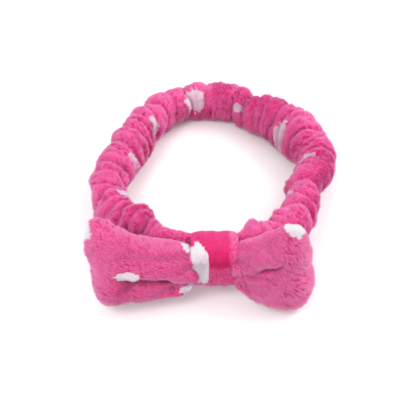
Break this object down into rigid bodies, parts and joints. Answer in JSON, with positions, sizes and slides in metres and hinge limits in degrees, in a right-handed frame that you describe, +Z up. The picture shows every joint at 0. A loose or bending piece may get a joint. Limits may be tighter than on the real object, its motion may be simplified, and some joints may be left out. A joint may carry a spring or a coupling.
{
  "type": "spa headband",
  "caption": "Stretchy gathered fleece ring that holds the hair back off the face, with a soft two-lobed bow held by a knot wrap at the front.",
  "frame": {"origin": "bottom centre of the object's box, on the table it stands on", "axes": "+X to the right seen from the bow's side, +Y from the bow to the back of the head, +Z up"},
  "size_m": [0.181, 0.2062, 0.0696],
  "materials": {
    "sleeve_fleece": "short coral fleece, pink with a few irregular white dots",
    "bow_fleece": "short coral fleece, slightly darker pink with a few white dots",
    "knot_fleece": "flattened smooth fleece, deep pink with one white dot",
    "knitted_elastic": "white ribbed knitted elastic",
    "seam_thread": "pink polyester sewing thread",
    "white_thread": "white polyester sewing thread"
  },
  "bodies": {
    "front": {"sleeve_front": "sleeve_fleece", "elastic_front": "knitted_elastic", "sleeve_seam_front": "seam_thread", "sleeve_end_seam": "seam_thread", "elastic_join_stitches": "white_thread"},
    "left": {"sleeve_left": "sleeve_fleece", "elastic_left": "knitted_elastic", "sleeve_seam_left": "seam_thread"},
    "right": {"sleeve_right": "sleeve_fleece", "elastic_right": "knitted_elastic", "sleeve_seam_right": "seam_thread"},
    "back_left": {"sleeve_back_left": "sleeve_fleece", "elastic_back_left": "knitted_elastic", "sleeve_seam_back_left": "seam_thread"},
    "back_right": {"sleeve_back_right": "sleeve_fleece", "elastic_back_right": "knitted_elastic", "sleeve_seam_back_right": "seam_thread"},
    "bow": {"knot_wrap": "knot_fleece", "knot_seam_stitches": "seam_thread", "bow_waist": "bow_fleece", "waist_thread": "white_thread"},
    "left_lobe": {"bow_left_front_panel": "bow_fleece", "bow_left_back_panel": "bow_fleece", "bow_left_edge_seam": "seam_thread"},
    "right_lobe": {"bow_right_front_panel": "bow_fleece", "bow_right_back_panel": "bow_fleece", "bow_right_edge_seam": "seam_thread"}
  },
  "joints": [
    {"name": "stretch", "type": "slide", "parent": "front", "child": "left", "axis": [-0.7071, 0.7034, -0.0719], "range_m": [0, 0.026], "stiffness_N_per_m": 120},
    {"name": "stretch_right", "type": "slide", "parent": "front", "child": "right", "axis": [0.7071, 0.7034, -0.0719], "range_m": [0, 0.026], "stiffness_N_per_m": 120},
    {"name": "stretch_back_left", "type": "slide", "parent": "left", "child": "back_left", "axis": [0.7071, 0.7034, -0.0719], "range_m": [0, 0.026], "stiffness_N_per_m": 120},
    {"name": "stretch_back_right", "type": "slide", "parent": "right", "child": "back_right", "axis": [-0.7071, 0.7034, -0.0719], "range_m": [0, 0.026], "stiffness_N_per_m": 120},
    {"name": "bow_roll", "type": "hinge", "parent": "front", "child": "bow", "pos_m": [-0.0005, -0.06813, 0.03224], "axis": [1, 0, 0], "range_deg": [-4, 12]},
    {"name": "left_lobe_flex", "type": "hinge", "parent": "bow", "child": "left_lobe", "pos_m": [-0.0165, -0.08644, 0.03411], "axis": [0, 0, 1], "range_deg": [-2, 35], "stiffness_Nm_per_rad": 0.03},
    {"name": "right_lobe_flex", "type": "hinge", "parent": "bow", "child": "right_lobe", "pos_m": [0.0155, -0.08644, 0.03411], "axis": [0, 0, -1], "range_deg": [-2, 35], "stiffness_Nm_per_rad": 0.03}
  ],
  "couplings": [
    {"joint": "stretch_right", "follows": "stretch", "ratio": 1},
    {"joint": "stretch_back_left", "follows": "stretch", "ratio": 1},
    {"joint": "stretch_back_right", "follows": "stretch", "ratio": 1}
  ]
}
